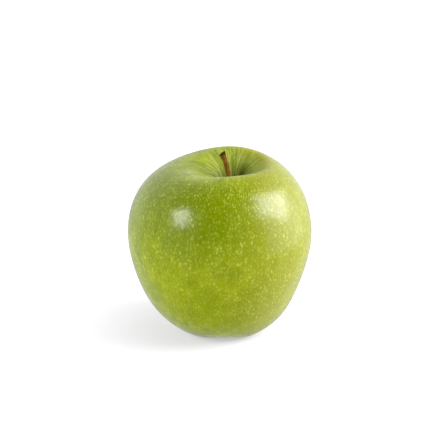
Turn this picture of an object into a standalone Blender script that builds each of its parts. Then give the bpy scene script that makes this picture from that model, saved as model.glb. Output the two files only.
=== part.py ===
"""A green eating apple: the fruit, its woody stem and the dried calyx under it.

The apple stands on Z = 0 with its origin under the middle of the fruit. Sizes are in metres, angles in radians.
-Y is the front. Round the fruit, an angle of 0 points to +X and grows anticlockwise seen from above.
"""

import math

import bmesh
import bpy
import numpy as np
from mathutils import Matrix, Vector

# Half profile of the fruit as (radius, height), from the cavity floor over the crest, down the side,
# round the foot and up to the basin floor
PROFILE = [
    (0.0, 0.0570),
    (0.0031, 0.0600),
    (0.0063, 0.0687),
    (0.0118, 0.0725),
    (0.0171, 0.0742),
    (0.0265, 0.0705),
    (0.0354, 0.0601),
    (0.0392, 0.0443),
    (0.0367, 0.0282),
    (0.0309, 0.0137),
    (0.0237, 0.0040),
    (0.0160, -0.0003),
    (0.0099, 0.0020),
    (0.0045, 0.0055),
    (0.0, 0.0065),
]

# Where the fruit departs from a turned shape
CROWN_SHIFT = (0.0050, -0.0020)
BASE_SHIFT = (0.0021, 0.0016)
CREST_TILT = (0.0010, 0.0010)
CREST_SADDLE = (-0.0012, -0.0002)
SHOULDER_TILT = (-0.0014, -0.0003)
OVAL = 0.008
CREST_RADIUS = 0.018

# Where down the profile, in point numbers, the crown fades out, the base fades in and the shoulder lies
CROWN_FADE = (3.2, 6.8)
BASE_FADE = (8.0, 11.5)
SHOULDER = 5.6
SHOULDER_REACH = 1.1

# The five low lobes that the apple rests on, and the radii between which they fade in and out
LOBES = 5
LOBE_TURN = 0.3
LOBE_HEIGHT = 0.00097
LOBE_FADE_IN = (0.0, 0.014)
LOBE_FADE_OUT = (0.0204, 0.0324)

# Facets of the fruit
FRUIT_SEGMENTS = 80
FRUIT_RINGS = 50

# Stem
STEM_RADIUS = 0.00102
STEM_RISE = 0.0221
STEM_LEAN = 0.0040
STEM_BOW = 0.0005
STEM_ROOT_DEPTH = 0.0040
STEM_ROOT_SWELL = 0.22
STEM_ROOT_REACH = 0.25
STEM_TIP_SWELL = 0.42
STEM_TIP_REACH = 0.11
STEM_POINTS = 20
STEM_ROUNDNESS = 4
STEM_OVERRUN = 0.06
STEM_END_TILT = math.radians(35)
STEM_SOCKET_SEGMENTS = 24

# Calyx
CUP_RADIUS = 0.0034
CUP_BOTTOM = 0.0056
CUP_TOP = 0.0079
CUP_SEGMENTS = 32
SEPALS = 5
SEPAL_TURN = 0.75
SEPAL_LENGTH = 0.0070
SEPAL_WIDTH = 0.0030
SEPAL_TIP_WIDTH = 0.0007
SEPAL_TAPER = 1.4
SEPAL_THICKNESS = 0.0007
SEPAL_ROOT_RADIUS = 0.0026
SEPAL_ROOT_HEIGHT = 0.0066
SEPAL_FIRST_HEADING = math.radians(-48)
SEPAL_CURL = math.radians(143)
SEPAL_CUPPING = 0.0004
SEPAL_SWEEP = 0.0009
SEPAL_UNEVEN = 0.08
SEPAL_UNEVEN_START = 0.6
SEPAL_UNEVEN_STEP = 2.1
SEPAL_STEPS_LONG = 10
SEPAL_STEPS_WIDE = 4

# Gap that keeps the stem and the calyx clear of the flesh round them
GAP = 0.0003

# Points closer than this are welded, and edges sharper than this stay sharp
WELD = 0.00001
SHARP_ANGLE = math.radians(50)

# Colour, roughness
SKIN_LOOK = ((0.33, 0.42, 0.035, 1.0), 0.36)
STEM_LOOK = ((0.13, 0.055, 0.015, 1.0), 0.8)
CALYX_LOOK = ((0.17, 0.115, 0.055, 1.0), 0.9)


def clear_scene():
    for thing in list(bpy.data.objects):
        bpy.data.objects.remove(thing, do_unlink=True)


def new_collection(name):
    collection = bpy.data.collections.new(name)
    bpy.context.scene.collection.children.link(collection)
    return collection


def new_material(name, look):
    colour, roughness = look
    material = bpy.data.materials.new(name)
    material.use_nodes = True
    shader = material.node_tree.nodes["Principled BSDF"]
    shader.inputs["Base Color"].default_value = colour
    shader.inputs["Roughness"].default_value = roughness
    shader.inputs["Metallic"].default_value = 0.0
    material.diffuse_color = colour
    return material


def object_from_bmesh(name, shape, collection, material=None):
    mesh = bpy.data.meshes.new(name)
    shape.to_mesh(mesh)
    shape.free()
    thing = bpy.data.objects.new(name, mesh)
    collection.objects.link(thing)
    if material:
        mesh.materials.append(material)
    return thing


def cylinder(name, centre, radius, bottom, top, segments, collection, material=None):
    """An upright cylinder between two heights."""
    shape = bmesh.new()
    middle = Matrix.Translation((centre[0], centre[1], (bottom + top) / 2))
    bmesh.ops.create_cone(
        shape,
        cap_ends=True,
        segments=segments,
        radius1=radius,
        radius2=radius,
        depth=top - bottom,
        matrix=middle,
    )
    return object_from_bmesh(name, shape, collection, material)


def step(x, first, last):
    """0 up to the first place, 1 from the last one on, and an S-shaped step between."""
    share = np.clip((x - first) / (last - first), 0, 1)
    return share * share * (3 - 2 * share)


def bell(x, centre, reach):
    """A bell-shaped curve that is 1 at its centre."""
    return math.e ** -(((x - centre) / reach) ** 2)


def profile_at(t):
    """Radius and height on the cubic curve through the profile's points, at point number t.

    The curve is a uniform cubic B-spline. The profile mirrored about the axis makes it a closed loop, so
    it crosses the axis level at both ends.
    """
    half = np.array(PROFILE)
    loop = np.concatenate([half, half[-2:0:-1] * (-1, 1)])
    count = len(loop)
    one = np.eye(count)
    weights = (4 * one + np.roll(one, 1, axis=1) + np.roll(one, -1, axis=1)) / 6
    control = np.linalg.solve(weights, loop)
    span = np.minimum(t.astype(int), len(half) - 2)
    f = (t - span)[:, None]
    before, here, after, beyond = (control[(span + k) % count] for k in (-1, 0, 1, 2))
    point = (1 - f) ** 3 * before + (3 * f**3 - 6 * f**2 + 4) * here
    point += (-3 * f**3 + 3 * f**2 + 3 * f + 1) * after + f**3 * beyond
    return point[:, 0] / 6, point[:, 1] / 6


def wave(angle, size, turns=1):
    """A wave round the fruit, from the sizes of its cosine and its sine."""
    return size[0] * np.cos(turns * angle) + size[1] * np.sin(turns * angle)


def fruit_surface(t, angle):
    """Points of the skin, for a point number t down the profile and an angle round the fruit.

    The turned shape is made a little oval. The crown and the base each shift sideways, the crest tilts and
    dips in two places, the shoulder tilts, and five shallow waves under the base leave five low lobes.
    """
    radius, height = profile_at(t)
    crown = 1 - step(t, *CROWN_FADE)
    base = step(t, *BASE_FADE)
    shoulder = bell(t, SHOULDER, SHOULDER_REACH)
    wide = radius * (1 + OVAL * np.sin(2 * angle))
    x = wide * np.cos(angle) + CROWN_SHIFT[0] * crown + BASE_SHIFT[0] * base
    y = wide * np.sin(angle) + CROWN_SHIFT[1] * crown + BASE_SHIFT[1] * base
    crest = crown * step(radius, 0, CREST_RADIUS)
    z = height + crest * (wave(angle, CREST_TILT) + wave(angle, CREST_SADDLE, 2))
    z += shoulder * wave(angle, SHOULDER_TILT)
    between_lobes = (1 - np.cos(LOBES * (angle - LOBE_TURN))) / 2
    lobe_ring = step(radius, *LOBE_FADE_IN) * (1 - step(radius, *LOBE_FADE_OUT))
    z += LOBE_HEIGHT * base * lobe_ring * between_lobes
    return x, y, np.maximum(z, 0)


def carry(shape, places):
    """Moves the vertices of a primitive to the places worked out for them."""
    for vertex, place in zip(shape.verts, places):
        vertex.co = place


def make_fruit(collection, material):
    """A sphere whose vertices are carried to the skin, so its poles are the two hollows' floors."""
    shape = bmesh.new()
    bmesh.ops.create_uvsphere(
        shape, u_segments=FRUIT_SEGMENTS, v_segments=FRUIT_RINGS, radius=1.0
    )
    ball = np.array([vertex.co for vertex in shape.verts])
    down = np.arccos(np.clip(ball[:, 2], -1, 1)) / math.pi
    angle = np.arctan2(ball[:, 1], ball[:, 0])
    carry(shape, np.stack(fruit_surface(down * (len(PROFILE) - 1), angle), axis=1))
    bmesh.ops.triangulate(shape, faces=shape.faces[:])
    return object_from_bmesh("apple_body", shape, collection, material)


def boolean(thing, operation, others):
    """A Boolean of this object with every object of a collection."""
    modifier = thing.modifiers.new(operation.title(), "BOOLEAN")
    modifier.operation = operation
    modifier.solver = "EXACT"
    modifier.operand_type = "COLLECTION"
    modifier.collection = others


def stem_point(u):
    """The stem's middle line: 0 at the cavity floor, 1 at the tip, and straight down below the floor."""
    lean = STEM_LEAN * max(u, 0) ** 2
    bow = STEM_BOW * math.sin(math.pi * min(max(u, 0), 1)) ** 2
    x = CROWN_SHIFT[0] - lean
    y = CROWN_SHIFT[1] - bow
    return Vector((x, y, PROFILE[0][1] + STEM_RISE * u))


def stem_swell(u):
    """The stem's thickness against its plain thickness: more at the root, and most at the tip."""
    root = STEM_ROOT_SWELL * bell(max(u, 0), 0, STEM_ROOT_REACH)
    tip = STEM_TIP_SWELL * bell(u, 1, STEM_TIP_REACH)
    return 1 + root + tip


def make_stem(collection, material):
    """A thick curve through the stem's middle line, cut off at a slant."""
    first = -STEM_ROOT_DEPTH / STEM_RISE
    steps = [first + (1 + STEM_OVERRUN - first) * k / (STEM_POINTS - 1) for k in range(STEM_POINTS)]
    line = bpy.data.curves.new("stem_line", "CURVE")
    line.dimensions = "3D"
    line.bevel_depth = STEM_RADIUS
    line.bevel_resolution = STEM_ROUNDNESS
    line.use_fill_caps = True
    spline = line.splines.new("POLY")
    spline.points.add(STEM_POINTS - 1)
    for point, u in zip(spline.points, steps):
        point.co = (*stem_point(u), 1.0)
        point.radius = stem_swell(u)
    guide = bpy.data.objects.new("stem_line", line)
    collection.objects.link(guide)
    bpy.context.view_layer.update()
    evaluated = guide.evaluated_get(bpy.context.evaluated_depsgraph_get())
    mesh = bpy.data.meshes.new_from_object(evaluated)
    place = guide.matrix_world.copy()
    bpy.data.objects.remove(guide, do_unlink=True)

    shape = bmesh.new()
    shape.from_mesh(mesh)
    bpy.data.meshes.remove(mesh)
    bmesh.ops.remove_doubles(shape, verts=shape.verts, dist=WELD)
    whole = shape.verts[:] + shape.edges[:] + shape.faces[:]
    slant = Vector((-math.sin(STEM_END_TILT), 0, math.cos(STEM_END_TILT)))
    bmesh.ops.bisect_plane(
        shape, geom=whole, plane_co=stem_point(1), plane_no=slant, clear_outer=True
    )
    open_edges = [edge for edge in shape.edges if edge.is_boundary]
    bmesh.ops.holes_fill(shape, edges=open_edges, sides=0)
    bmesh.ops.recalc_face_normals(shape, faces=shape.faces[:])
    stem = object_from_bmesh("stem", shape, collection, material)
    stem.matrix_world = place
    return stem


def sepal_surface(along, across, number):
    """Points of a sepal, for a share of its length and a place across it from -1 to 1.

    Its middle line is an arc that heads down and inwards from the cup, then curls outwards. It narrows to
    its tip, its edges bend towards the axis, and it drifts to one side. No two are quite the same length.
    """
    uneven = math.sin(SEPAL_UNEVEN_START + SEPAL_UNEVEN_STEP * number)
    length = SEPAL_LENGTH * (1 + SEPAL_UNEVEN * uneven)
    bend_radius = length / SEPAL_CURL
    heading = SEPAL_FIRST_HEADING + SEPAL_CURL * along
    width = SEPAL_WIDTH + (SEPAL_TIP_WIDTH - SEPAL_WIDTH) * along**SEPAL_TAPER
    out = SEPAL_ROOT_RADIUS + bend_radius * (math.cos(SEPAL_FIRST_HEADING) - np.cos(heading))
    out = out - SEPAL_CUPPING * (across * width / SEPAL_WIDTH) ** 2
    drop = bend_radius * (np.sin(heading) - math.sin(SEPAL_FIRST_HEADING))
    side = across * width / 2 + SEPAL_SWEEP * along**2
    turn = SEPAL_TURN + 2 * math.pi * number / SEPALS
    x = BASE_SHIFT[0] + out * math.cos(turn) - side * math.sin(turn)
    y = BASE_SHIFT[1] + out * math.sin(turn) + side * math.cos(turn)
    return x, y, SEPAL_ROOT_HEIGHT - drop


def make_sepal(number, collection, material):
    """A grid carried to the sepal's surface and given a thickness."""
    shape = bmesh.new()
    bmesh.ops.create_grid(
        shape, x_segments=SEPAL_STEPS_LONG, y_segments=SEPAL_STEPS_WIDE, size=1.0
    )
    flat = np.array([vertex.co for vertex in shape.verts])
    carry(shape, np.stack(sepal_surface((flat[:, 0] + 1) / 2, flat[:, 1], number), axis=1))
    sepal = object_from_bmesh(f"sepal_{number}", shape, collection, material)
    walls = sepal.modifiers.new("Thickness", "SOLIDIFY")
    walls.thickness = SEPAL_THICKNESS
    walls.offset = 0
    return sepal


def make_calyx(collection, material):
    """The cup of the flower's base with its five dried sepals joined on."""
    sepals = new_collection("sepals")
    for number in range(SEPALS):
        make_sepal(number, sepals, material)
    calyx = cylinder(
        "calyx", BASE_SHIFT, CUP_RADIUS, CUP_BOTTOM, CUP_TOP, CUP_SEGMENTS, collection, material
    )
    boolean(calyx, "UNION", sepals)
    bpy.context.view_layer.update()
    evaluated = calyx.evaluated_get(bpy.context.evaluated_depsgraph_get())
    joined = bpy.data.meshes.new_from_object(evaluated)
    calyx.modifiers.clear()
    calyx.data = joined
    for sepal in list(sepals.objects):
        bpy.data.objects.remove(sepal, do_unlink=True)
    bpy.data.collections.remove(sepals)
    return calyx


def shade(thing):
    thing.data.shade_smooth()
    thing.data.set_sharp_from_angle(angle=SHARP_ANGLE)


def main():
    clear_scene()
    apple = new_collection("apple")
    cutters = new_collection("cutters")
    cutters.hide_render = True

    fruit = make_fruit(apple, new_material("skin", SKIN_LOOK))
    stem = make_stem(apple, new_material("stem", STEM_LOOK))
    calyx = make_calyx(apple, new_material("calyx", CALYX_LOOK))

    cavity_floor = PROFILE[0][1]
    root_radius = STEM_RADIUS * stem_swell(0)
    stem_socket = cylinder(
        "stem_socket",
        CROWN_SHIFT,
        root_radius + GAP,
        cavity_floor - STEM_ROOT_DEPTH - GAP,
        cavity_floor + STEM_ROOT_DEPTH,
        STEM_SOCKET_SEGMENTS,
        cutters,
    )
    calyx_socket = cylinder(
        "calyx_socket",
        BASE_SHIFT,
        CUP_RADIUS + GAP,
        CUP_BOTTOM - CUP_RADIUS,
        CUP_TOP + GAP,
        CUP_SEGMENTS,
        cutters,
    )
    for cutter in (stem_socket, calyx_socket):
        cutter.hide_render = True
        cutter.display_type = "WIRE"
    boolean(fruit, "DIFFERENCE", cutters)

    for thing in (fruit, stem, calyx):
        shade(thing)


main()
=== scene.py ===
"""The looks of a green eating apple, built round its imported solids.

Sizes are in metres, angles in radians, colours linear. -Y is the front, the side that the camera sees.
Round the fruit, an angle of 0 points to +X and grows anticlockwise seen from above.
"""

import math

import bpy
import numpy as np
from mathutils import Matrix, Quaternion, Vector


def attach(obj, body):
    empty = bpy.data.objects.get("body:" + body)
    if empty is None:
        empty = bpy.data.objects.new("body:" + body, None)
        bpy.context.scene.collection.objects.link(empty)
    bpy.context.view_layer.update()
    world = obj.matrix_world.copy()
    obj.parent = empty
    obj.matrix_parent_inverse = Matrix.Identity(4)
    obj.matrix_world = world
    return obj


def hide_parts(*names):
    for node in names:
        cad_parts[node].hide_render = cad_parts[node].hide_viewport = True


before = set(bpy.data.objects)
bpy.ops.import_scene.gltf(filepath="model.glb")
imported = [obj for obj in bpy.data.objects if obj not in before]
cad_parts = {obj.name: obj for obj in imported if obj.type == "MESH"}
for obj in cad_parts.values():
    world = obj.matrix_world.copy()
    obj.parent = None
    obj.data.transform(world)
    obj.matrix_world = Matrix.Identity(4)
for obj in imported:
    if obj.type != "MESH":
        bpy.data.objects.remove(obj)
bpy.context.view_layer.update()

# Half profile of the fruit as (radius, height), from the cavity floor over the crest, down the side,
# round the foot and up to the basin floor
PROFILE = [
    (0.0, 0.0570),
    (0.0031, 0.0600),
    (0.0063, 0.0687),
    (0.0118, 0.0725),
    (0.0171, 0.0742),
    (0.0265, 0.0705),
    (0.0354, 0.0601),
    (0.0392, 0.0443),
    (0.0367, 0.0282),
    (0.0309, 0.0137),
    (0.0237, 0.0040),
    (0.0160, -0.0003),
    (0.0099, 0.0020),
    (0.0045, 0.0055),
    (0.0, 0.0065),
]
LAST_POINT = len(PROFILE) - 1
WIDEST = 0.0392

# Where the fruit departs from a turned shape
CROWN_SHIFT = (0.0050, -0.0020)
BASE_SHIFT = (0.0021, 0.0016)
CREST_TILT = (0.0010, 0.0010)
CREST_SADDLE = (-0.0012, -0.0002)
SHOULDER_TILT = (-0.0014, -0.0003)
OVAL = 0.008
CREST_RADIUS = 0.018

# Where down the profile, in point numbers, the crown fades out, the base fades in and the shoulder lies
CROWN_FADE = (3.2, 6.8)
BASE_FADE = (8.0, 11.5)
SHOULDER = 5.6
SHOULDER_REACH = 1.1

# The five low lobes that the apple rests on, and the radii between which they fade in and out
LOBES = 5
LOBE_TURN = 0.3
LOBE_HEIGHT = 0.00097
LOBE_FADE_IN = (0.0, 0.014)
LOBE_FADE_OUT = (0.0204, 0.0324)

# The skin's grid, and the flower's tube in the middle of the basin
SKIN_ROWS = 258
SKIN_COLUMNS = 360
TUBE_RADIUS = 0.0024
TUBE_DEPTH = 0.0030

# How the skin's pattern is laid out: the power by which it is drawn out over the crown, what is added to
# that power under the fruit, the points of the profile between which that comes in, the narrowest ring
# that counts, and the steps in which the length along the profile is added up
CROWN_POWER = 0.30
BASE_POWER_ADDED = 0.55
BASE_POWER_FADE = (5, 9)
NARROWEST_RING = 0.003
LENGTH_STEPS = 1401

# Stem. Its cut end is marked with a height past the tip's 1, which gives the end its own colour
STEM_RADIUS = 0.00102
STEM_RISE = 0.0221
STEM_LEAN = 0.0040
STEM_BOW = 0.0005
STEM_ROOT_DEPTH = 0.0012
STEM_ROOT_SWELL = 0.22
STEM_ROOT_REACH = 0.25
STEM_TIP_SWELL = 0.42
STEM_TIP_REACH = 0.11
STEM_END_TILT = math.radians(35)
STEM_END_DISH = 0.0004
STEM_END_ROUNDS = 6
STEM_END_MARK = 1.2
STEM_ROWS = 150
STEM_END_ROWS = 12
STEM_SIDES = 72

# The bark's ridges as (number round the stem, height as a share of its radius, twist up it, start), and
# its knots, two waves that cross, each as (waves up the stem, waves round it)
BARK_RIDGES = [(5, 0.055, 2.2, 0.0), (9, 0.03, -3.1, 1.0), (17, 0.018, 5.0, 2.0)]
BARK_KNOT_HEIGHT = 0.05
BARK_KNOT_WAVES = [(23, 2), (11, 3)]

# Sepals of the calyx
SEPALS = 5
SEPAL_TURN = 0.75
SEPAL_LENGTH = 0.0070
SEPAL_WIDTH = 0.0032
SEPAL_TIP_WIDTH = 0.0003
SEPAL_TAPER = 1.5
SEPAL_BELLY = 0.25
SEPAL_BELLY_WAVE = 3
SEPAL_THICKNESS = 0.00032
SEPAL_ROOT_RADIUS = 0.0028
SEPAL_ROOT_HEIGHT = 0.0069
SEPAL_FIRST_HEADING = math.radians(-48)
SEPAL_CURL = math.radians(143)
SEPAL_EDGE_CURL = 0.0005
SEPAL_RIPPLE = 0.00010
SEPAL_RIPPLE_WAVE = 13
SEPAL_CREASE = 0.00006
SEPAL_CREASE_WAVES = (9, 7)
SEPAL_SWEEP = 0.0009
SEPAL_UNEVEN = 0.08
SEPAL_UNEVEN_START = 0.6
SEPAL_ROWS = 36
SEPAL_COLUMNS = 17

# Stamens, the threads in the flower's tube
STAMENS = 17
STAMEN_RADIUS = 0.00013
STAMEN_LENGTH = 0.0042
STAMEN_UNEVEN = 0.25
STAMEN_ROOT_OUT = 0.0013
STAMEN_ROOT_RISE = 0.0008
STAMEN_BEND = 0.0009
STAMEN_BEND_ANGLE = 1.5
STAMEN_BEND_UNEVEN = 0.35
STAMEN_SPREAD = 0.0005
STAMEN_DRIFT = 0.9
STAMEN_TAPER = 0.5
STAMEN_HEAD_SWELL = 1.3
STAMEN_HEAD = 0.97
STAMEN_HEAD_REACH = 0.07
STAMEN_ROWS = 9
STAMEN_SIDES = 7

# The angle by which each trait's sine moves on from one sepal or stamen to the next, so that no two match
SEPAL_VARIES = {"length": 2.1, "sweep": 1.7, "ripple": 2, "crease": 1}
STAMEN_VARIES = {"length": 1.9, "bend": 3, "spread": 5.3, "drift": 2.7}

# Camera
VIEW_TARGET = (-0.00332, 0.0, 0.05196)
VIEW_ELEVATION = math.radians(20.82)
VIEW_DISTANCE = 0.850
VIEW_WIDTH = 0.18023
SENSOR = 36.0
NEAREST_SEEN = 0.01

# Lights: turn to the right of the camera, elevation and roll in degrees, the degrees that the panel fills
# across and upright, watts
LIGHT_DISTANCE = 0.9
LIGHTS = {
    "main panel": (86, 28, -39, 44, 31, 14.2),
    "broad panel": (92, 8, 0, 60, 50, 6.8),
    "fill panel": (-56, 30, 35, 18, 25, 5.9),
    "low bounce": (-65, 10, 0, 80, 40, 4.2),
}
MATT_LIGHTS = ("low bounce",)

# The studio round the apple: how bright each side is, what the top and the bottom leave of that, and the
# parts of the unit direction towards it between which each changes
BACK_WALL = (0.3, 0.95, 0.0)
studio_glow = {"all round": 0.02, "back": 1.1, "right": 0.8, "left": 0.55, "top": 0.5, "bottom": 0.7}
studio_fade = {
    "back": (-0.45, 0.45),
    "right": (0.1, 0.9),
    "left": (-0.35, -0.9),
    "top": (0.55, 0.95),
    "bottom": (-0.35, 0.0),
}

# Zones of the skin: where each fades in and where it fades out down the profile, in point numbers. None
# stands for a zone that starts at the cavity floor or goes on to the basin floor
SKIN_ZONES = {
    # The first three zones carry painted shade in the cavity: darkest in the funnel, on the wall away from
    # the main light, and all over its inside
    "funnel": (None, (1.1, 2.8)),
    "shaded wall": (None, (1.9, 3.3)),
    "painted cavity shade": (None, (2.2, 3.9)),
    "dull hollow": (None, (2.2, 4.4)),
    "crown": (None, (2.4, 4.6)),
    "crest": ((3.4, 4.4), (5.0, 6.0)),
    "shoulder": ((4.0, 5.0), (6.0, 7.6)),
    "upper half": (None, (6.0, 8.5)),
    "flower tube": ((12.9, 13.4), None),
}

# Sides of the skin: the direction that each faces, and where it comes in, as a distance out that way
SKIN_SIDES = {
    # Painted light: the side that the main light falls on gets a yellower, darker tone that stands for how
    # that light shows it
    "painted lit side": ((1.0, 0.0, 0.0), (-0.005, 0.032)),
    "back": ((0.0, 1.0, 0.0), (0.3 * WIDEST, 0.8 * WIDEST)),
    # Painted shade on the cavity's wall that faces away from the main light
    "shaded side": ((0.91, 0.42, 0.0), (0.2 * WIDEST, 0.9 * WIDEST)),
}

# How broken every mottle's patches are at their edges
CLOUD_ROUGHNESS = 0.55

# Patterns of the skin: the cloudy ones, then the pores, which lie a little longer than wide up the fruit
SKIN_CLOUDS = {
    "large clouds": {"Scale": 70.0, "Detail": 3.0},
    "clouds": {"Scale": 190.0, "Detail": 3.0, "Low": 0.36, "High": 0.66},
    "grain": {"Scale": 700.0, "Detail": 3.0, "Low": 0.3, "High": 0.7},
    "streaks": {"Stretch": (1.0, 1.0, 0.09), "Scale": 560.0, "Detail": 2.0, "Low": 0.45, "High": 0.66},
}
SKIN_PORES = {
    "pores": {"Scale": 700.0, "Size": 0.15, "Softness": 0.35, "Uneven": 0.7},
    "small pores": {"Scale": 1250.0, "Size": 0.20, "Softness": 0.42, "Uneven": 0.7},
}
PORE_STRETCH = (1.0, 1.0, 0.66)

# The skin's pigments, and how strongly each zone or pattern shows
skin_look = {
    "deep": (0.106, 0.148, 0.0),
    "plain": (0.250, 0.289, 0.0),
    # Painted light: the yellower, darker tone of the side that the main light falls on
    "lit side tone": (0.167, 0.172, 0.001),
    "pore": (0.385, 0.45, 0.065),
    "pale": (0.43, 0.47, 0.12),
    # Painted shade for the inside of the cavity and for its wall away from the main light
    "painted shade": (0.111, 0.150, 0.0),
    # Painted shade, the darkest, deep in the funnel round the stem
    "painted funnel shade": (0.026, 0.034, 0.0),
    "flower tube": (0.10, 0.07, 0.03),
}
cloud_share = {"large clouds": 0.4, "clouds": 0.4, "grain": 0.2}
CLOUD_MIDDLE = 0.5
CLOUD_CONTRAST_BELOW = 0.45
zone_share = {
    "shoulder": 0.85,
    "painted lit side": 0.85,
    "painted cavity shade": 0.95,
    "shaded side": 0.3,
    "funnel": 0.9,
    "flower tube": 0.85,
}
streak_share = {"everywhere": 0.04, "on the crown": 0.56, "lost in the shade": 0.8}
pore_share = {"pores": 0.85, "small pores": 0.65}
pore_strength = {"everywhere": 0.35, "in clouds": 0.4, "on the crest": 0.24}
PORES_OUTSIDE_FUNNEL = 0.85
PORES_LOST_IN_FUNNEL = 0.8

# The skin's finish: its roughness and what is added to it, the heights of its relief as shares of the
# bump's depth, the bump's strength and depth, and how light enters the flesh
skin_roughness = {"plain": 0.19, "grain": 0.06, "dull hollow": 0.55, "back": 0.14}
skin_relief = {"grain": 0.6, "pores": -0.5, "streaks": 1.0}
SKIN_BUMP = (0.34, 0.00012)
skin_flesh = {
    "IOR": 1.35,
    "Subsurface Weight": 0.12,
    "Subsurface Radius": (1.0, 0.9, 0.15),
    "Subsurface Scale": 0.0022,
}

# Bark: its patterns, its pigments and their shares, and where up the stem the root's green fades out and
# the dark end comes in
BARK_FIBRES = {"Stretch": (1.0, 1.0, 0.1), "Scale": 2600.0, "Detail": 4.0}
BARK_PATCHES = {"Scale": 420.0, "Detail": 3.0}
BARK_PORES = {"Scale": 1500.0, "Size": 0.12, "Softness": 0.15, "Uneven": 0.8}
BARK_ROOT = (0.15, 0.7)
BARK_END = (0.955, 0.995)
BARK_BUMP = (0.5, 0.00008)
bark_look = {
    "furrow": (0.064, 0.022, 0.0),
    "ridge": (0.168, 0.078, 0.004),
    "worn": (0.24, 0.145, 0.012),
    "pore": (0.42, 0.32, 0.18),
    "root": (0.36, 0.27, 0.02),
    "end": (0.018, 0.010, 0.005),
}
bark_share = {"worn": 0.45, "pore": 0.35, "root": 0.55, "end": 0.9}
bark_roughness = {"plain": 0.55, "fibres": 0.15}
BARK_GLOSS = 0.08

# Dried sepals and stamens
SEPAL_PATCHES = {"Scale": 700.0, "Detail": 4.0}
SEPAL_SPECKS = {"Scale": 2200.0, "Size": 0.16, "Softness": 0.12, "Uneven": 0.7}
SEPAL_TIP = (0.55, 1.0)
SEPAL_BUMP = (0.6, 0.0001)
sepal_look = {
    "dark": (0.10, 0.062, 0.028),
    "light": (0.30, 0.24, 0.14),
    "speck": (0.045, 0.028, 0.014),
    "tip": (0.035, 0.020, 0.010),
}
sepal_share = {"speck": 0.5, "tip": 0.7}
sepal_roughness = {"plain": 0.95, "patches": -0.15}

# Paper: the camera sees it in a colour of its own, with two glows added, painted light that lifts its
# shadows and whitens it further off. Each goes from its third number to its fourth between two distances
# from the middle, its first number and its second
PAPER_HALF = 3.0
PAPER_DROP = 0.00005
PAPER_GRAIN = {"Scale": 900.0, "Detail": 2.0}
PAPER_ROUGHNESS = 0.9
PAPER_GLOSS = 0.1
paper_look = {
    "low": (0.90, 0.90, 0.90),
    "high": (0.915, 0.915, 0.915),
    "glow": (0.987, 0.983, 1.0),
    "seen": (0.407, 0.401, 0.430),
}
PAPER_GLOW_NEAR = (0.024, 0.072, 0.462, 0.66)
PAPER_GLOW_FAR = (0.15, 0.5, 0.0, 0.34)


def step(x, first, last):
    """0 up to the first place, 1 from the last one on, and an S-shaped step between."""
    share = np.clip((x - first) / (last - first), 0, 1)
    return share * share * (3 - 2 * share)


def bell(x, centre, reach):
    """A bell-shaped curve that is 1 at its centre."""
    return np.exp(-(((x - centre) / reach) ** 2))


def wave(angle, size, turns=1):
    """A wave round the fruit, from the sizes of its cosine and its sine."""
    return size[0] * np.cos(turns * angle) + size[1] * np.sin(turns * angle)


def unit(v):
    """Vectors made one unit long."""
    return v / np.linalg.norm(v, axis=-1, keepdims=True)


def profile_at(t):
    """Radius and height on the cubic curve through the profile's points, at point number t.

    The curve is a uniform cubic B-spline. The profile mirrored about the axis makes it a closed loop, so
    it crosses the axis level at both ends.
    """
    half = np.array(PROFILE)
    loop = np.concatenate([half, half[-2:0:-1] * (-1, 1)])
    count = len(loop)
    one = np.eye(count)
    weights = (4 * one + np.roll(one, 1, axis=1) + np.roll(one, -1, axis=1)) / 6
    control = np.linalg.solve(weights, loop)
    span = np.minimum(t.astype(int), LAST_POINT - 1)
    f = (t - span)[..., None]
    before, here, after, beyond = (control[(span + k) % count] for k in (-1, 0, 1, 2))
    point = (1 - f) ** 3 * before + (3 * f**3 - 6 * f**2 + 4) * here
    point += (-3 * f**3 + 3 * f**2 + 3 * f + 1) * after + f**3 * beyond
    return point[..., 0] / 6, point[..., 1] / 6


def fruit_surface(t, angle):
    """Points of the skin, for a point number t down the profile and an angle round the fruit.

    The profile turned round the axis is made a little oval by a sine of twice the angle. The crown and
    the base each shift sideways. The crest tilts by one wave round the fruit and dips in two places by a
    wave of twice the angle, and the shoulder tilts by one wave. Five waves under the base lift what lies
    between five low lobes. The middle of the basin rises into the flower's narrow tube.
    """
    radius, height = profile_at(t)
    crown = 1 - step(t, *CROWN_FADE)
    base = step(t, *BASE_FADE)
    shoulder = bell(t, SHOULDER, SHOULDER_REACH)
    wide = radius * (1 + OVAL * np.sin(2 * angle))
    x = wide * np.cos(angle) + CROWN_SHIFT[0] * crown + BASE_SHIFT[0] * base
    y = wide * np.sin(angle) + CROWN_SHIFT[1] * crown + BASE_SHIFT[1] * base
    crest = crown * step(radius, 0, CREST_RADIUS)
    z = height + crest * (wave(angle, CREST_TILT) + wave(angle, CREST_SADDLE, 2))
    z = z + shoulder * wave(angle, SHOULDER_TILT)
    between_lobes = (1 - np.cos(LOBES * (angle - LOBE_TURN))) / 2
    lobe_ring = step(radius, *LOBE_FADE_IN) * (1 - step(radius, *LOBE_FADE_OUT))
    z = z + LOBE_HEIGHT * base * lobe_ring * between_lobes
    z = z + TUBE_DEPTH * base * (1 - step(radius, 0, TUBE_RADIUS))
    return x, y, np.maximum(z, 0)


def put(name, data):
    """An object in the scene, for a mesh, a camera or a light."""
    made = bpy.data.objects.new(name, data)
    bpy.context.scene.collection.objects.link(made)
    return made


def piece(name, mesh, material, node):
    """An object of the apple, which rides with it and stands for this node."""
    made = put(name, mesh)
    mesh.materials.append(material)
    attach(made, "root")
    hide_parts(node)
    return made


def smooth_mesh(name, vertices, faces):
    """A smoothly shaded mesh."""
    mesh = bpy.data.meshes.new(name)
    mesh.from_pydata(vertices.tolist(), [], faces)
    mesh.update()
    mesh.shade_smooth()
    return mesh


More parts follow.
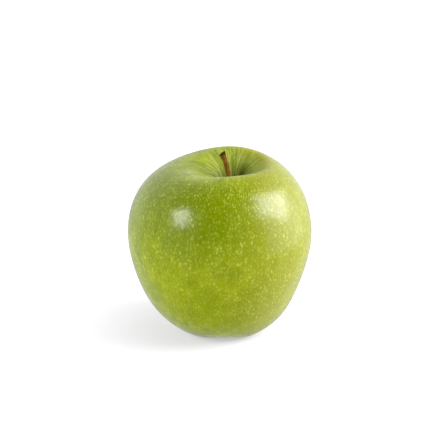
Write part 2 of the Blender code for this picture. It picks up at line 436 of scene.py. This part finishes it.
def four_sided(index):
    """Faces between neighbouring rows and columns of vertex numbers, in one grid or in several."""
    above, below = index[..., :-1, :], index[..., 1:, :]
    corners = [above[..., :-1], below[..., :-1], below[..., 1:], above[..., 1:]]
    return np.stack(corners, axis=-1).reshape(-1, 4).tolist()


def mesh_from_grid(name, points, round_about=True, poles=None):
    """A mesh from points on a grid, shaped (rows, columns, 3), with rows running so that faces point out.

    Columns meet again where the grid runs round about. poles are the points that close the first row and
    the last one.
    """
    rows, columns = points.shape[:2]
    index = np.arange(rows * columns).reshape(rows, columns)
    if round_about:
        index = np.concatenate([index, index[:, :1]], axis=1)
    faces = four_sided(index)
    vertices = points.reshape(-1, 3)
    if poles is not None:
        first, last = len(vertices), len(vertices) + 1
        vertices = np.concatenate([vertices, poles])
        top, bottom = index[0], index[-1]
        fan = np.full(len(top) - 1, first)
        faces += np.stack([top[:-1], top[1:], fan], axis=-1).tolist()
        fan = np.full(len(bottom) - 1, last)
        faces += np.stack([bottom[1:], bottom[:-1], fan], axis=-1).tolist()
    return smooth_mesh(name, vertices, faces)


def give_values(mesh, name, values):
    """Puts a number or a vector for each vertex on the mesh."""
    kind = "FLOAT_VECTOR" if values.ndim == 2 else "FLOAT"
    key = "vector" if values.ndim == 2 else "value"
    made = mesh.attributes.new(name, kind, "POINT")
    made.data.foreach_set(key, values.astype(np.float32).ravel())


def skin_place(t, angle):
    """Where a point lies on the skin as it was laid out when the fruit was small.

    The skin is rolled round an upright cylinder as wide as the fruit, so a pattern on it has no seam. The
    height on it is the length along the profile, each step divided by a power of the ring's share of the
    widest one. The power is nearly 1 under the fruit, where spots stay round and get small, and low over
    the crown, where they are drawn out towards the stem.
    """
    fine = np.linspace(0, LAST_POINT, LENGTH_STEPS)
    radius, height = profile_at(fine)
    stretch = np.hypot(np.diff(radius), np.diff(height))
    narrow = np.maximum(radius, NARROWEST_RING)[1:] / WIDEST
    power = CROWN_POWER + BASE_POWER_ADDED * step(fine[1:], *BASE_POWER_FADE)
    length = np.concatenate([[0], np.cumsum(stretch * narrow**-power)])
    along = np.interp(t, fine, length)
    return np.stack([WIDEST * np.cos(angle), WIDEST * np.sin(angle), along], axis=-1)


def make_skin(material):
    """The skin as one grid, closed at the cavity floor and at the end of the flower's tube."""
    t = np.linspace(0, LAST_POINT, SKIN_ROWS + 2)
    angle = np.linspace(0, 2 * math.pi, SKIN_COLUMNS, endpoint=False)
    rows, columns = np.meshgrid(t[1:-1], angle, indexing="ij")
    points = np.stack(fruit_surface(rows, columns), axis=-1)
    ends = np.array([0.0, LAST_POINT])
    poles = np.stack(fruit_surface(ends, np.zeros(2)), axis=-1)
    mesh = mesh_from_grid("skin", points, poles=poles)
    place = np.concatenate([skin_place(rows, columns).reshape(-1, 3), skin_place(ends, np.zeros(2))])
    give_values(mesh, "skin_place", place)
    give_values(mesh, "down", np.concatenate([rows.ravel(), ends]))
    piece("skin", mesh, material, "apple_body")


def stem_line(u):
    """The stem's middle line: 0 at the cavity floor, 1 at the tip, straight down below the floor.

    It rises evenly, leans to the left by the square of u and bows to the front by a squared sine.
    """
    above = np.clip(u, 0, None)
    lean = STEM_LEAN * above**2
    bow = STEM_BOW * np.sin(math.pi * np.clip(u, 0, 1)) ** 2
    x = CROWN_SHIFT[0] - lean
    y = CROWN_SHIFT[1] - bow
    return np.stack([x, y, PROFILE[0][1] + STEM_RISE * u], axis=-1)


def stem_swell(u):
    """The stem's thickness against its plain thickness: more at the root, and most at the tip."""
    root = STEM_ROOT_SWELL * bell(np.clip(u, 0, None), 0, STEM_ROOT_REACH)
    tip = STEM_TIP_SWELL * bell(u, 1, STEM_TIP_REACH)
    return 1 + root + tip


def stem_surface(u, angle):
    """Points of the bark, for a place u along the stem's middle line and an angle round it.

    The distance from the middle line is the stem's radius, times its swell, times 1 plus the ridges and the
    knots. A set of ridges is a sine of its number times the angle, turned as it rises. The knots are the
    product of two such sines.
    """
    nudge = 0.001
    middle = stem_line(u)
    ahead = unit(stem_line(u + nudge) - stem_line(u - nudge))
    side = unit(np.cross(ahead, (0.0, 1.0, 0.0)))
    front = np.cross(side, ahead)
    ridges = 0
    for count, size, twist, start in BARK_RIDGES:
        ridges = ridges + size * np.sin(count * angle + twist * u + start)
    first_wave, second_wave = (np.sin(up * u + about * angle) for up, about in BARK_KNOT_WAVES)
    knots = BARK_KNOT_HEIGHT * first_wave * second_wave
    radius = STEM_RADIUS * stem_swell(u) * (1 + ridges + knots)
    out = side * np.cos(angle)[..., None] + front * np.sin(angle)[..., None]
    return middle + out * radius[..., None]


def make_stem(material):
    """The stem as one grid, its bark first and then the slanted, dished end of it.

    Each line of the bark is run up to the slanted plane through the tip by a few rounds of correction. The
    end draws the rim in to the tip in even steps, sunk by a quarter circle's height.
    """
    slant = np.array([-math.sin(STEM_END_TILT), 0, math.cos(STEM_END_TILT)])
    angle = np.linspace(0, 2 * math.pi, STEM_SIDES, endpoint=False)
    tip = stem_line(np.array(1.0))
    end = np.ones(STEM_SIDES)
    for _ in range(STEM_END_ROUNDS):
        off = (stem_surface(end, angle) - tip) @ slant
        end = end - off / STEM_RISE
    first = -STEM_ROOT_DEPTH / STEM_RISE
    share = np.linspace(0, 1, STEM_ROWS)[:, None]
    u = first + (end[None, :] - first) * share
    bark = stem_surface(u, np.broadcast_to(angle, u.shape))
    rim = bark[-1]
    inward = np.linspace(0, 1, STEM_END_ROWS + 1)[1:-1, None, None]
    dish = STEM_END_DISH * np.sqrt(1 - (1 - inward) ** 2)
    face = rim + (tip - rim) * inward - slant * dish
    points = np.concatenate([bark, face])[:, ::-1]
    poles = np.stack([stem_line(np.array(first)), tip - slant * STEM_END_DISH])
    mesh = mesh_from_grid("stem_bark", points, poles=poles)
    up = np.concatenate([u, np.full((STEM_END_ROWS - 1, STEM_SIDES), STEM_END_MARK)])[:, ::-1]
    give_values(mesh, "up", np.concatenate([up.ravel(), [first, STEM_END_MARK]]))
    piece("stem_bark", mesh, material, "stem")


def sepal_surface(along, across, number):
    """Points of a dried sepal, for a share of its length and a place across it from -1 to 1.

    Its middle line is an arc that heads down and inwards from the rim of the flower's tube, then curls
    outwards. Its width falls from full to the tip's by a power of the share, a little fuller on the way by
    a sine. Its edges curl by the square of the distance from the middle line, two sines ripple and crease
    it, and it drifts to one side by the square of the share.
    """
    uneven = SEPAL_UNEVEN * math.sin(SEPAL_VARIES["length"] * number + SEPAL_UNEVEN_START)
    bend_radius = SEPAL_LENGTH * (1 + uneven) / SEPAL_CURL
    heading = SEPAL_FIRST_HEADING + SEPAL_CURL * along
    shape = 1 - along**SEPAL_TAPER
    fuller = 1 + SEPAL_BELLY * np.sin(SEPAL_BELLY_WAVE * along)
    width = SEPAL_TIP_WIDTH + (SEPAL_WIDTH - SEPAL_TIP_WIDTH) * shape * fuller
    ripples = SEPAL_RIPPLE_WAVE * along + SEPAL_VARIES["ripple"] * number
    creases = SEPAL_CREASE_WAVES[0] * along + SEPAL_CREASE_WAVES[1] * across
    ripple = SEPAL_RIPPLE * np.sin(ripples) * across**2
    ripple = ripple + SEPAL_CREASE * np.sin(creases + SEPAL_VARIES["crease"] * number)
    edge_curl = -SEPAL_EDGE_CURL * (across * width / SEPAL_WIDTH) ** 2 + ripple
    out = SEPAL_ROOT_RADIUS + bend_radius * (math.cos(SEPAL_FIRST_HEADING) - np.cos(heading))
    out = out + edge_curl * np.cos(heading)
    drop = bend_radius * (np.sin(heading) - math.sin(SEPAL_FIRST_HEADING))
    height = SEPAL_ROOT_HEIGHT - drop + edge_curl * np.sin(heading)
    side = across * width / 2 + SEPAL_SWEEP * along**2 * math.cos(SEPAL_VARIES["sweep"] * number)
    turn = SEPAL_TURN + 2 * math.pi * number / SEPALS
    x = BASE_SHIFT[0] + out * math.cos(turn) - side * math.sin(turn)
    y = BASE_SHIFT[1] + out * math.sin(turn) + side * math.cos(turn)
    return np.stack([x, y, height], axis=-1)


def make_sepals(material):
    """Five sepals, each a grid given a thickness."""
    lengthwise = np.linspace(0, 1, SEPAL_ROWS)
    crosswise = np.linspace(-1, 1, SEPAL_COLUMNS)
    along, across = np.meshgrid(lengthwise, crosswise, indexing="ij")
    for number in range(SEPALS):
        points = sepal_surface(along, across, number)
        mesh = mesh_from_grid(f"sepal_{number}", points, round_about=False)
        give_values(mesh, "along", along.ravel())
        made = piece(f"sepal_{number}", mesh, material, "calyx")
        walls = made.modifiers.new("Thickness", "SOLIDIFY")
        walls.thickness = SEPAL_THICKNESS
        walls.offset = 0


def stamen_surface(number, along, around):
    """Points of the stamens, by each one's number, a share of its length and an angle round it.

    They stand round the basin's axis a golden angle apart. Each reaches straight down by its length. Its
    distance from the axis falls by a sine of the share and strays by the share's square, and its heading
    drifts by the share. Its radius tapers evenly and swells to a small head by a bell-shaped curve.
    """
    turn = number * math.pi * (3 - math.sqrt(5))
    uneven = STAMEN_UNEVEN * np.sin(STAMEN_VARIES["length"] * number)
    length = STAMEN_LENGTH * (1 - STAMEN_UNEVEN + uneven)
    bend = STAMEN_BEND_ANGLE * along + STAMEN_BEND_UNEVEN * np.sin(STAMEN_VARIES["bend"] * number)
    out = STAMEN_ROOT_OUT - STAMEN_BEND * np.sin(bend)
    out = out + STAMEN_SPREAD * along**2 * np.sin(STAMEN_VARIES["spread"] * number)
    height = SEPAL_ROOT_HEIGHT + STAMEN_ROOT_RISE - length * along
    drift = turn + STAMEN_DRIFT * along * np.sin(STAMEN_VARIES["drift"] * number)
    head = STAMEN_HEAD_SWELL * bell(along, STAMEN_HEAD, STAMEN_HEAD_REACH)
    thick = STAMEN_RADIUS * (1 - STAMEN_TAPER * along + head)
    x = BASE_SHIFT[0] + out * np.cos(drift) + thick * np.cos(around)
    y = BASE_SHIFT[1] + out * np.sin(drift) + thick * np.sin(around)
    return np.stack(np.broadcast_arrays(x, y, height), axis=-1)


def make_stamens(material):
    """The flower's withered threads, thin closed tubes all in one mesh."""
    number = np.arange(STAMENS)[:, None, None]
    along = np.linspace(0, 1, STAMEN_ROWS)[None, :, None]
    around = np.linspace(0, 2 * math.pi, STAMEN_SIDES, endpoint=False)[None, None, :]
    points = stamen_surface(number, along, around)
    index = np.arange(STAMENS * STAMEN_ROWS * STAMEN_SIDES).reshape(points.shape[:3])
    wrapped = np.concatenate([index, index[:, :, :1]], axis=2)
    faces = four_sided(wrapped) + index[:, 0, :].tolist() + index[:, -1, ::-1].tolist()
    mesh = smooth_mesh("stamens", points.reshape(-1, 3), faces)
    give_values(mesh, "along", np.broadcast_to(along, points.shape[:3]).ravel())
    piece("stamens", mesh, material, "calyx")


def add(tree, kind, inputs=None, **settings):
    """A new node. An input that is a socket is linked, and any other is set."""
    made = tree.nodes.new(kind)
    for name, value in settings.items():
        setattr(made, name, value)
    for name, value in (inputs or {}).items():
        if isinstance(value, bpy.types.NodeSocket):
            tree.links.new(value, made.inputs[name])
        else:
            made.inputs[name].default_value = value
    return made


def maths(tree, operation, *values):
    """The result of a sum, product or other operation."""
    return add(tree, "ShaderNodeMath", dict(enumerate(values)), operation=operation).outputs[0]


def times(tree, first, second):
    """Two numbers multiplied."""
    return maths(tree, "MULTIPLY", first, second)


def weighted(tree, start, *pairs):
    """A number, plus values that are each multiplied by a weight."""
    total = start
    for value, weight in pairs:
        total = maths(tree, "MULTIPLY_ADD", value, weight, total)
    return total


def ramp(tree, value, low, high, to_low=0.0, to_high=1.0):
    """A value's smooth step from one pair of limits to another."""
    inputs = {"Value": value, "From Min": low, "From Max": high, "To Min": to_low, "To Max": to_high}
    made = add(tree, "ShaderNodeMapRange", inputs, interpolation_type="SMOOTHSTEP")
    return made.outputs["Result"]


def rgba(colour):
    """A colour with its opacity, or the socket that was given."""
    return colour if isinstance(colour, bpy.types.NodeSocket) else (*colour, 1.0)


def mix(tree, share, first, second):
    """A colour between two, by a share of 0 to 1."""
    inputs = {0: share, 6: rgba(first), 7: rgba(second)}
    return add(tree, "ShaderNodeMix", inputs, data_type="RGBA").outputs[2]


def tint(tree, colour, pigment, mask, share):
    """A pigment laid over a colour, as strongly as the mask times the share."""
    return mix(tree, times(tree, mask, share), colour, pigment)


def reach_along(tree, place, direction):
    """How far a place lies out in a direction."""
    made = add(tree, "ShaderNodeVectorMath", {0: place, 1: direction}, operation="DOT_PRODUCT")
    return made.outputs["Value"]


def stretched(tree, place, factors):
    """A place multiplied by a factor along each axis."""
    return add(tree, "ShaderNodeVectorMath", {0: place, 1: factors}, operation="MULTIPLY").outputs[0]


def bump(tree, height, strength, distance):
    """A normal from a height."""
    inputs = {"Height": height, "Strength": strength, "Distance": distance}
    return add(tree, "ShaderNodeBump", inputs).outputs["Normal"]


def attribute(tree, name, output="Fac"):
    """A number, or with "Vector" a vector, that the mesh holds for each vertex."""
    return add(tree, "ShaderNodeAttribute", attribute_name=name).outputs[output]


def new_group(name, inputs):
    """A node group with named inputs and one mask. It returns the tree, its inputs and its output node."""
    tree = bpy.data.node_groups.new(name, "ShaderNodeTree")
    for label, kind, value in inputs:
        socket = tree.interface.new_socket(label, in_out="INPUT", socket_type="NodeSocket" + kind)
        if value is not None:
            socket.default_value = value
    tree.interface.new_socket("Mask", in_out="OUTPUT", socket_type="NodeSocketFloat")
    return tree, tree.nodes.new("NodeGroupInput").outputs, tree.nodes.new("NodeGroupOutput")


def use_group(tree, group, place, inputs):
    """The mask of a group placed in a material, with its own values."""
    return add(tree, "ShaderNodeGroup", {"Vector": place, **inputs}, node_tree=group).outputs[0]


def make_spots_group():
    """Soft round spots, one to a cell, each with its own size and strength."""
    inputs = [
        ("Vector", "Vector", None),
        ("Scale", "Float", 400.0),
        ("Size", "Float", 0.25),
        ("Softness", "Float", 0.12),
        ("Uneven", "Float", 0.5),
    ]
    tree, given, out = new_group("soft spots", inputs)
    where = {"Vector": given["Vector"], "Scale": given["Scale"]}
    cells = add(tree, "ShaderNodeTexVoronoi", where, feature="F1")
    chance = add(tree, "ShaderNodeSeparateColor", {"Color": cells.outputs["Color"]})
    smaller = times(tree, chance.outputs["Red"], given["Uneven"])
    size = times(tree, given["Size"], maths(tree, "SUBTRACT", 1.0, smaller))
    edge = maths(tree, "ADD", size, given["Softness"])
    spot = ramp(tree, cells.outputs["Distance"], size, edge, 1.0, 0.0)
    weaker = times(tree, chance.outputs["Green"], given["Uneven"])
    mask = times(tree, spot, maths(tree, "SUBTRACT", 1.0, weaker))
    tree.links.new(mask, out.inputs["Mask"])
    return tree


def make_mottle_group():
    """Cloudy patches, stretched as wanted, with their contrast set by two limits."""
    inputs = [
        ("Vector", "Vector", None),
        ("Stretch", "Vector", (1.0, 1.0, 1.0)),
        ("Scale", "Float", 100.0),
        ("Detail", "Float", 3.0),
        ("Low", "Float", 0.35),
        ("High", "Float", 0.65),
    ]
    tree, given, out = new_group("mottle", inputs)
    where = {
        "Vector": stretched(tree, given["Vector"], given["Stretch"]),
        "Scale": given["Scale"],
        "Detail": given["Detail"],
        "Roughness": CLOUD_ROUGHNESS,
    }
    cloud = add(tree, "ShaderNodeTexNoise", where)
    mask = ramp(tree, cloud.outputs["Fac"], given["Low"], given["High"])
    tree.links.new(mask, out.inputs["Mask"])
    return tree


def new_material(name):
    """A material with a plain Principled shader. It returns the material, its tree and the shader."""
    made = bpy.data.materials.new(name)
    made.use_nodes = True
    tree = made.node_tree
    return made, tree, tree.nodes["Principled BSDF"]


def skin_masks(tree, place):
    """Masks of the skin's zones, by how far down the profile a point lies, and of its sides."""
    down = attribute(tree, "down")
    masks = {}
    for name, (comes_in, goes_out) in SKIN_ZONES.items():
        mask = ramp(tree, down, *comes_in) if comes_in else 1.0
        masks[name] = times(tree, mask, ramp(tree, down, *goes_out, 1.0, 0.0)) if goes_out else mask
    for name, (direction, limits) in SKIN_SIDES.items():
        masks[name] = ramp(tree, reach_along(tree, place, direction), *limits)
    masks["shaded side"] = times(tree, masks["shaded side"], masks["shaded wall"])
    return masks


def skin_patterns(tree, place, spots, mottle):
    """Masks of the skin's clouds, grain, streaks and pores."""
    masks = {name: use_group(tree, mottle, place, inputs) for name, inputs in SKIN_CLOUDS.items()}
    long_place = stretched(tree, place, PORE_STRETCH)
    for name, inputs in SKIN_PORES.items():
        masks[name] = use_group(tree, spots, long_place, inputs)
    return masks


def green_ground(tree, zones, patterns):
    """The skin's cloudy greens, calmer low down, with a darker shoulder, a painted lit-side tone and
    painted cavity shade laid over them in turn.
    """
    shares = [(patterns[name], share) for name, share in cloud_share.items()]
    cloudy = weighted(tree, -CLOUD_MIDDLE, *shares)
    contrast = weighted(tree, CLOUD_CONTRAST_BELOW, (zones["upper half"], 1 - CLOUD_CONTRAST_BELOW))
    cloudy = weighted(tree, CLOUD_MIDDLE, (cloudy, contrast))
    colour = mix(tree, cloudy, skin_look["deep"], skin_look["plain"])
    # Over the clouds: a darker green on the shoulder, a painted tone on the lit side, and painted shade in
    # the cavity
    layers = {
        "shoulder": "deep",
        "painted lit side": "lit side tone",
        "painted cavity shade": "painted shade",
        "shaded side": "painted shade",
        "funnel": "painted funnel shade",
    }
    for zone, pigment in layers.items():
        colour = tint(tree, colour, skin_look[pigment], zones[zone], zone_share[zone])
    return colour


def skin_colour(tree, zones, patterns):
    """The greens, the pale streaks that run down into the cavity, the pores, and the flower's tube."""
    colour = green_ground(tree, zones, patterns)
    streaky = weighted(tree, streak_share["everywhere"], (zones["crown"], streak_share["on the crown"]))
    # The pale streaks fade on the cavity's wall that gets painted shade
    lit = weighted(tree, 1.0, (zones["shaded side"], -streak_share["lost in the shade"]))
    streaks = times(tree, times(tree, patterns["streaks"], streaky), lit)
    colour = mix(tree, streaks, colour, skin_look["pale"])
    in_clouds = (patterns["clouds"], pore_strength["in clouds"])
    on_crest = (zones["crest"], pore_strength["on the crest"])
    strength = weighted(tree, pore_strength["everywhere"], in_clouds, on_crest)
    outside = weighted(tree, PORES_OUTSIDE_FUNNEL, (zones["funnel"], -PORES_LOST_IN_FUNNEL))
    strength = times(tree, strength, outside)
    for name in ("small pores", "pores"):
        mask = times(tree, patterns[name], strength)
        colour = tint(tree, colour, skin_look["pore"], mask, pore_share[name])
    return tint(tree, colour, skin_look["flower tube"], zones["flower tube"], zone_share["flower tube"])


def skin_material(spots, mottle):
    """Green waxy skin, duller in the cavity and on its back, with sunken pores and raised streaks."""
    made, tree, shader = new_material("waxy green skin")
    place = attribute(tree, "skin_place", "Vector")
    zones = skin_masks(tree, place)
    patterns = skin_patterns(tree, place, spots, mottle)
    tree.links.new(skin_colour(tree, zones, patterns), shader.inputs["Base Color"])

    masks = {**zones, **patterns}
    rougher = [(masks[name], skin_roughness[name]) for name in ("grain", "dull hollow", "back")]
    tree.links.new(weighted(tree, skin_roughness["plain"], *rougher), shader.inputs["Roughness"])

    masks["streaks"] = times(tree, patterns["streaks"], zones["crown"])
    relief = weighted(tree, 0.0, *((masks[name], height) for name, height in skin_relief.items()))
    tree.links.new(bump(tree, relief, *SKIN_BUMP), shader.inputs["Normal"])
    for name, value in skin_flesh.items():
        shader.inputs[name].default_value = value
    return made


def stem_material(spots, mottle):
    """Brown bark: long fibres, paler worn patches, a few pale pores, a greener root and a dark end."""
    made, tree, shader = new_material("brown bark")
    place = add(tree, "ShaderNodeTexCoord").outputs["Object"]
    up = attribute(tree, "up")
    fibres = use_group(tree, mottle, place, BARK_FIBRES)
    masks = {
        "worn": use_group(tree, mottle, place, BARK_PATCHES),
        "pore": use_group(tree, spots, place, BARK_PORES),
        "root": ramp(tree, up, *BARK_ROOT, 1.0, 0.0),
        "end": ramp(tree, up, *BARK_END),
    }
    colour = mix(tree, fibres, bark_look["furrow"], bark_look["ridge"])
    for name, mask in masks.items():
        colour = tint(tree, colour, bark_look[name], mask, bark_share[name])
    tree.links.new(colour, shader.inputs["Base Color"])
    rough = weighted(tree, bark_roughness["plain"], (fibres, bark_roughness["fibres"]))
    tree.links.new(rough, shader.inputs["Roughness"])
    tree.links.new(bump(tree, fibres, *BARK_BUMP), shader.inputs["Normal"])
    shader.inputs["Specular IOR Level"].default_value = BARK_GLOSS
    return made


def calyx_material(spots, mottle):
    """Dried sepals: blotched grey-brown papery skin, dark specks, darker and browner tips."""
    made, tree, shader = new_material("dried sepal")
    place = add(tree, "ShaderNodeTexCoord").outputs["Object"]
    patches = use_group(tree, mottle, place, SEPAL_PATCHES)
    masks = {
        "speck": use_group(tree, spots, place, SEPAL_SPECKS),
        "tip": ramp(tree, attribute(tree, "along"), *SEPAL_TIP),
    }
    colour = mix(tree, patches, sepal_look["dark"], sepal_look["light"])
    for name, mask in masks.items():
        colour = tint(tree, colour, sepal_look[name], mask, sepal_share[name])
    tree.links.new(colour, shader.inputs["Base Color"])
    rough = weighted(tree, sepal_roughness["plain"], (patches, sepal_roughness["patches"]))
    tree.links.new(rough, shader.inputs["Roughness"])
    tree.links.new(bump(tree, patches, *SEPAL_BUMP), shader.inputs["Normal"])
    return made


def floor_material(mottle):
    """Plain pale paper. The camera sees its shadows fainter than they are, and white further off."""
    made, tree, shader = new_material("pale paper")
    place = add(tree, "ShaderNodeTexCoord").outputs["Object"]
    grain = use_group(tree, mottle, place, PAPER_GRAIN)
    paper = mix(tree, grain, paper_look["low"], paper_look["high"])
    seen = add(tree, "ShaderNodeLightPath").outputs["Is Camera Ray"]
    tree.links.new(mix(tree, seen, paper, paper_look["seen"]), shader.inputs["Base Color"])
    reach = add(tree, "ShaderNodeVectorMath", {0: place}, operation="LENGTH").outputs["Value"]
    glow = maths(tree, "ADD", ramp(tree, reach, *PAPER_GLOW_NEAR), ramp(tree, reach, *PAPER_GLOW_FAR))
    tree.links.new(times(tree, seen, glow), shader.inputs["Emission Strength"])
    shader.inputs["Emission Color"].default_value = rgba(paper_look["glow"])
    shader.inputs["Roughness"].default_value = PAPER_ROUGHNESS
    shader.inputs["Specular IOR Level"].default_value = PAPER_GLOSS
    return made


def make_floor(material):
    """A wide sheet just under the apple, which the skin doesn't mirror, so that its greens stay clear."""
    half, below = PAPER_HALF, -PAPER_DROP
    mesh = bpy.data.meshes.new("floor")
    corners = [(-half, -half, below), (half, -half, below), (half, half, below), (-half, half, below)]
    mesh.from_pydata(corners, [], [(0, 1, 2, 3)])
    mesh.materials.append(material)
    floor = put("floor", mesh)
    floor.visible_glossy = False


def towards(turn, elevation):
    """A direction from the apple, by its turn to the right of the camera and its elevation."""
    level = math.cos(elevation)
    return Vector((math.sin(turn) * level, -math.cos(turn) * level, math.sin(elevation)))


def make_camera():
    """The camera of the photograph: a long lens, a little above the fruit."""
    data = bpy.data.cameras.new("camera")
    data.sensor_width = SENSOR
    data.lens = SENSOR * VIEW_DISTANCE / VIEW_WIDTH
    data.clip_start = NEAREST_SEEN
    camera = put("camera", data)
    away = towards(0, VIEW_ELEVATION)
    camera.location = Vector(VIEW_TARGET) + away * VIEW_DISTANCE
    camera.rotation_euler = away.to_track_quat("Z", "Y").to_euler()
    bpy.context.scene.camera = camera


def make_lights():
    """Soft panels round the apple, each by the angles that it fills. Nothing mirrors the matt ones."""
    for name, (turn, elevation, roll, across, upright, watts) in LIGHTS.items():
        data = bpy.data.lights.new(name, "AREA")
        data.shape = "RECTANGLE"
        data.size = 2 * LIGHT_DISTANCE * math.tan(math.radians(across / 2))
        data.size_y = 2 * LIGHT_DISTANCE * math.tan(math.radians(upright / 2))
        data.energy = watts
        light = put(name, data)
        away = towards(math.radians(turn), math.radians(elevation))
        light.location = Vector(VIEW_TARGET) + away * LIGHT_DISTANCE
        facing = away.to_track_quat("Z", "Y") @ Quaternion((0, 0, 1), math.radians(roll))
        light.rotation_euler = facing.to_euler()
        light.visible_glossy = name not in MATT_LIGHTS


def make_world():
    """A white studio: bright behind the apple and at its sides, dim overhead and behind the camera."""
    world = bpy.data.worlds.new("studio")
    bpy.context.scene.world = world
    world.use_nodes = True
    tree = world.node_tree
    direction = add(tree, "ShaderNodeTexCoord").outputs["Generated"]
    split = add(tree, "ShaderNodeSeparateXYZ", {0: direction})
    parts = {
        "back": reach_along(tree, direction, BACK_WALL),
        "right": split.outputs["X"],
        "left": split.outputs["X"],
    }
    sides = [(ramp(tree, part, *studio_fade[name]), studio_glow[name]) for name, part in parts.items()]
    glow = weighted(tree, studio_glow["all round"], *sides)
    top = ramp(tree, split.outputs["Z"], *studio_fade["top"], 1.0, studio_glow["top"])
    bottom = ramp(tree, split.outputs["Z"], *studio_fade["bottom"], studio_glow["bottom"], 1.0)
    glow = times(tree, times(tree, glow, top), bottom)
    background = tree.nodes["Background"]
    tree.links.new(glow, background.inputs["Strength"])
    background.inputs["Color"].default_value = (1.0, 1.0, 1.0, 1.0)


def main():
    """Builds the apple, its paper, the camera, the lights and the studio."""
    spots = make_spots_group()
    mottle = make_mottle_group()
    make_skin(skin_material(spots, mottle))
    make_stem(stem_material(spots, mottle))
    dried_sepal = calyx_material(spots, mottle)
    make_sepals(dried_sepal)
    make_stamens(dried_sepal)
    make_floor(floor_material(mottle))
    make_camera()
    make_lights()
    make_world()
    scene = bpy.context.scene
    scene.view_settings.view_transform = "Standard"
    scene.view_settings.look = "None"


main()
